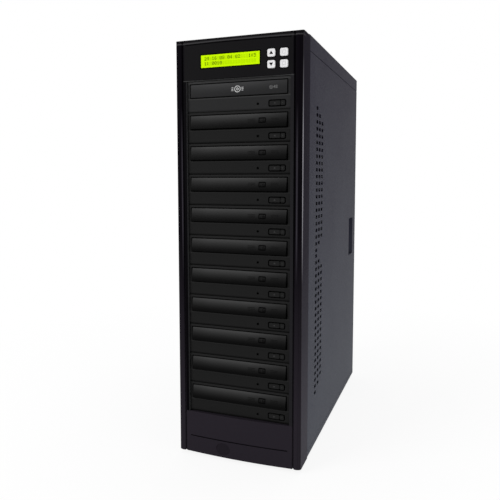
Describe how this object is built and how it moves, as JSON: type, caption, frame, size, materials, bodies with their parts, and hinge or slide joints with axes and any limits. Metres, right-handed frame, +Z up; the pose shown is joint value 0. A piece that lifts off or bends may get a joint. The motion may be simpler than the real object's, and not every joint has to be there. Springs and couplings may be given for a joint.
{
  "type": "disc duplicator tower",
  "caption": "Free-standing tower with stacked optical drives, sliding trays, a display with keys, a folded steel case, power supply and fan.",
  "frame": {"origin": "middle of the tower's box on the surface that its feet stand on", "axes": "+Z up, -Y towards the front with the drives, +X to the right seen from the front"},
  "size_m": [0.183, 0.4152, 0.593],
  "materials": {
    "bezel_plastic": "satin black with a violet cast",
    "case_paint": "fine textured black paint",
    "galvanised_steel": "dull zinc grey",
    "drive_plastic": "matt black",
    "tray_plastic": "satin black",
    "eject_plastic": "satin black",
    "key_white": "satin white",
    "display_green": "lit yellow-green display",
    "circuit_board": "green solder mask",
    "fan_plastic": "matt black",
    "foot_rubber": "matt black",
    "screw_metal": "nickel plated",
    "switch_plastic": "gloss black"
  },
  "bodies": {
    "tower": {"front_bezel": "bezel_plastic", "display_board": "display_green", "base_pan": "case_paint", "top_cover": "case_paint", "rear_panel": "galvanised_steel", "bay_rail_left": "galvanised_steel", "bay_rail_right": "galvanised_steel", "controller_board": "circuit_board", "psu_case": "galvanised_steel", "fan_frame": "fan_plastic", "drive_01": "drive_plastic", "drive_02": "drive_plastic", "drive_03": "drive_plastic", "drive_04": "drive_plastic", "drive_05": "drive_plastic", "drive_06": "drive_plastic", "drive_07": "drive_plastic", "drive_08": "drive_plastic", "drive_09": "drive_plastic", "drive_10": "drive_plastic", "drive_11": "drive_plastic", "foot_front_left": "foot_rubber", "foot_rear_left": "foot_rubber", "foot_front_right": "foot_rubber", "foot_rear_right": "foot_rubber"},
    "side_panel_left": {"side_panel_left": "case_paint"},
    "side_panel_right": {"side_panel_right": "case_paint"},
    "psu_fan": {"psu_fan": "fan_plastic"},
    "psu_switch": {"psu_switch": "switch_plastic"},
    "fan_rotor": {"fan_rotor": "fan_plastic"},
    "key_up": {"key_up": "key_white"},
    "key_down": {"key_down": "key_white"},
    "key_enter": {"key_enter": "key_white"},
    "key_escape": {"key_escape": "key_white"},
    "tray_01": {"tray_01": "tray_plastic"},
    "eject_button_01": {"eject_button_01": "eject_plastic"},
    "tray_02": {"tray_02": "tray_plastic"},
    "eject_button_02": {"eject_button_02": "eject_plastic"},
    "tray_03": {"tray_03": "tray_plastic"},
    "eject_button_03": {"eject_button_03": "eject_plastic"},
    "tray_04": {"tray_04": "tray_plastic"},
    "eject_button_04": {"eject_button_04": "eject_plastic"},
    "tray_05": {"tray_05": "tray_plastic"},
    "eject_button_05": {"eject_button_05": "eject_plastic"},
    "tray_06": {"tray_06": "tray_plastic"},
    "eject_button_06": {"eject_button_06": "eject_plastic"},
    "tray_07": {"tray_07": "tray_plastic"},
    "eject_button_07": {"eject_button_07": "eject_plastic"},
    "tray_08": {"tray_08": "tray_plastic"},
    "eject_button_08": {"eject_button_08": "eject_plastic"},
    "tray_09": {"tray_09": "tray_plastic"},
    "eject_button_09": {"eject_button_09": "eject_plastic"},
    "tray_10": {"tray_10": "tray_plastic"},
    "eject_button_10": {"eject_button_10": "eject_plastic"},
    "tray_11": {"tray_11": "tray_plastic"},
    "eject_button_11": {"eject_button_11": "eject_plastic"},
    "thumbscrew_upper_left": {"thumbscrew_upper_left": "screw_metal"},
    "thumbscrew_lower_left": {"thumbscrew_lower_left": "screw_metal"},
    "thumbscrew_upper_right": {"thumbscrew_upper_right": "screw_metal"},
    "thumbscrew_lower_right": {"thumbscrew_lower_right": "screw_metal"}
  },
  "joints": [
    {"name": "side_panel_left_slide", "type": "slide", "parent": "tower", "child": "side_panel_left", "axis": [0, 1, 0], "range_m": [0, 0.012]},
    {"name": "side_panel_right_slide", "type": "slide", "parent": "tower", "child": "side_panel_right", "axis": [0, 1, 0], "range_m": [0, 0.012]},
    {"name": "thumbscrew_upper_left_turn", "type": "hinge", "parent": "side_panel_left", "child": "thumbscrew_upper_left", "pos_m": [-0.0847, 0.20162, 0.5262], "axis": [0, 1, 0], "continuous": true},
    {"name": "thumbscrew_lower_left_turn", "type": "hinge", "parent": "side_panel_left", "child": "thumbscrew_lower_left", "pos_m": [-0.0847, 0.20162, 0.0608], "axis": [0, 1, 0], "continuous": true},
    {"name": "thumbscrew_upper_right_turn", "type": "hinge", "parent": "side_panel_right", "child": "thumbscrew_upper_right", "pos_m": [0.0847, 0.20162, 0.5262], "axis": [0, 1, 0], "continuous": true},
    {"name": "thumbscrew_lower_right_turn", "type": "hinge", "parent": "side_panel_right", "child": "thumbscrew_lower_right", "pos_m": [0.0847, 0.20162, 0.0608], "axis": [0, 1, 0], "continuous": true},
    {"name": "psu_switch_rock", "type": "hinge", "parent": "tower", "child": "psu_switch", "pos_m": [0.046, 0.19652, 0.504], "axis": [1, 0, 0], "range_deg": [-18, 0]},
    {"name": "psu_fan_spin", "type": "hinge", "parent": "tower", "child": "psu_fan", "pos_m": [-0.03, 0.17602, 0.524], "axis": [0, 1, 0], "continuous": true},
    {"name": "fan_spin", "type": "hinge", "parent": "tower", "child": "fan_rotor", "pos_m": [0, 0.17702, 0.16], "axis": [0, 1, 0], "continuous": true},
    {"name": "key_up_press", "type": "slide", "parent": "tower", "child": "key_up", "axis": [0, 1, 0], "range_m": [0, 0.0008], "stiffness_N_per_m": 1000},
    {"name": "key_down_press", "type": "slide", "parent": "tower", "child": "key_down", "axis": [0, 1, 0], "range_m": [0, 0.0008], "stiffness_N_per_m": 1000},
    {"name": "key_enter_press", "type": "slide", "parent": "tower", "child": "key_enter", "axis": [0, 1, 0], "range_m": [0, 0.0008], "stiffness_N_per_m": 1000},
    {"name": "key_escape_press", "type": "slide", "parent": "tower", "child": "key_escape", "axis": [0, 1, 0], "range_m": [0, 0.0008], "stiffness_N_per_m": 1000},
    {"name": "tray_01_slide", "type": "slide", "parent": "tower", "child": "tray_01", "axis": [0, -1, 0], "range_m": [0, 0.135]},
    {"name": "tray_02_slide", "type": "slide", "parent": "tower", "child": "tray_02", "axis": [0, -1, 0], "range_m": [0, 0.135]},
    {"name": "tray_03_slide", "type": "slide", "parent": "tower", "child": "tray_03", "axis": [0, -1, 0], "range_m": [0, 0.135]},
    {"name": "tray_04_slide", "type": "slide", "parent": "tower", "child": "tray_04", "axis": [0, -1, 0], "range_m": [0, 0.135]},
    {"name": "tray_05_slide", "type": "slide", "parent": "tower", "child": "tray_05", "axis": [0, -1, 0], "range_m": [0, 0.135]},
    {"name": "tray_06_slide", "type": "slide", "parent": "tower", "child": "tray_06", "axis": [0, -1, 0], "range_m": [0, 0.135]},
    {"name": "tray_07_slide", "type": "slide", "parent": "tower", "child": "tray_07", "axis": [0, -1, 0], "range_m": [0, 0.135]},
    {"name": "tray_08_slide", "type": "slide", "parent": "tower", "child": "tray_08", "axis": [0, -1, 0], "range_m": [0, 0.135]},
    {"name": "tray_09_slide", "type": "slide", "parent": "tower", "child": "tray_09", "axis": [0, -1, 0], "range_m": [0, 0.135]},
    {"name": "tray_10_slide", "type": "slide", "parent": "tower", "child": "tray_10", "axis": [0, -1, 0], "range_m": [0, 0.135]},
    {"name": "tray_11_slide", "type": "slide", "parent": "tower", "child": "tray_11", "axis": [0, -1, 0], "range_m": [0, 0.135]},
    {"name": "eject_01_press", "type": "slide", "parent": "tower", "child": "eject_button_01", "axis": [0, 1, 0], "range_m": [0, 0.0009], "stiffness_N_per_m": 800},
    {"name": "eject_02_press", "type": "slide", "parent": "tower", "child": "eject_button_02", "axis": [0, 1, 0], "range_m": [0, 0.0009], "stiffness_N_per_m": 800},
    {"name": "eject_03_press", "type": "slide", "parent": "tower", "child": "eject_button_03", "axis": [0, 1, 0], "range_m": [0, 0.0009], "stiffness_N_per_m": 800},
    {"name": "eject_04_press", "type": "slide", "parent": "tower", "child": "eject_button_04", "axis": [0, 1, 0], "range_m": [0, 0.0009], "stiffness_N_per_m": 800},
    {"name": "eject_05_press", "type": "slide", "parent": "tower", "child": "eject_button_05", "axis": [0, 1, 0], "range_m": [0, 0.0009], "stiffness_N_per_m": 800},
    {"name": "eject_06_press", "type": "slide", "parent": "tower", "child": "eject_button_06", "axis": [0, 1, 0], "range_m": [0, 0.0009], "stiffness_N_per_m": 800},
    {"name": "eject_07_press", "type": "slide", "parent": "tower", "child": "eject_button_07", "axis": [0, 1, 0], "range_m": [0, 0.0009], "stiffness_N_per_m": 800},
    {"name": "eject_08_press", "type": "slide", "parent": "tower", "child": "eject_button_08", "axis": [0, 1, 0], "range_m": [0, 0.0009], "stiffness_N_per_m": 800},
    {"name": "eject_09_press", "type": "slide", "parent": "tower", "child": "eject_button_09", "axis": [0, 1, 0], "range_m": [0, 0.0009], "stiffness_N_per_m": 800},
    {"name": "eject_10_press", "type": "slide", "parent": "tower", "child": "eject_button_10", "axis": [0, 1, 0], "range_m": [0, 0.0009], "stiffness_N_per_m": 800},
    {"name": "eject_11_press", "type": "slide", "parent": "tower", "child": "eject_button_11", "axis": [0, 1, 0], "range_m": [0, 0.0009], "stiffness_N_per_m": 800}
  ]
}
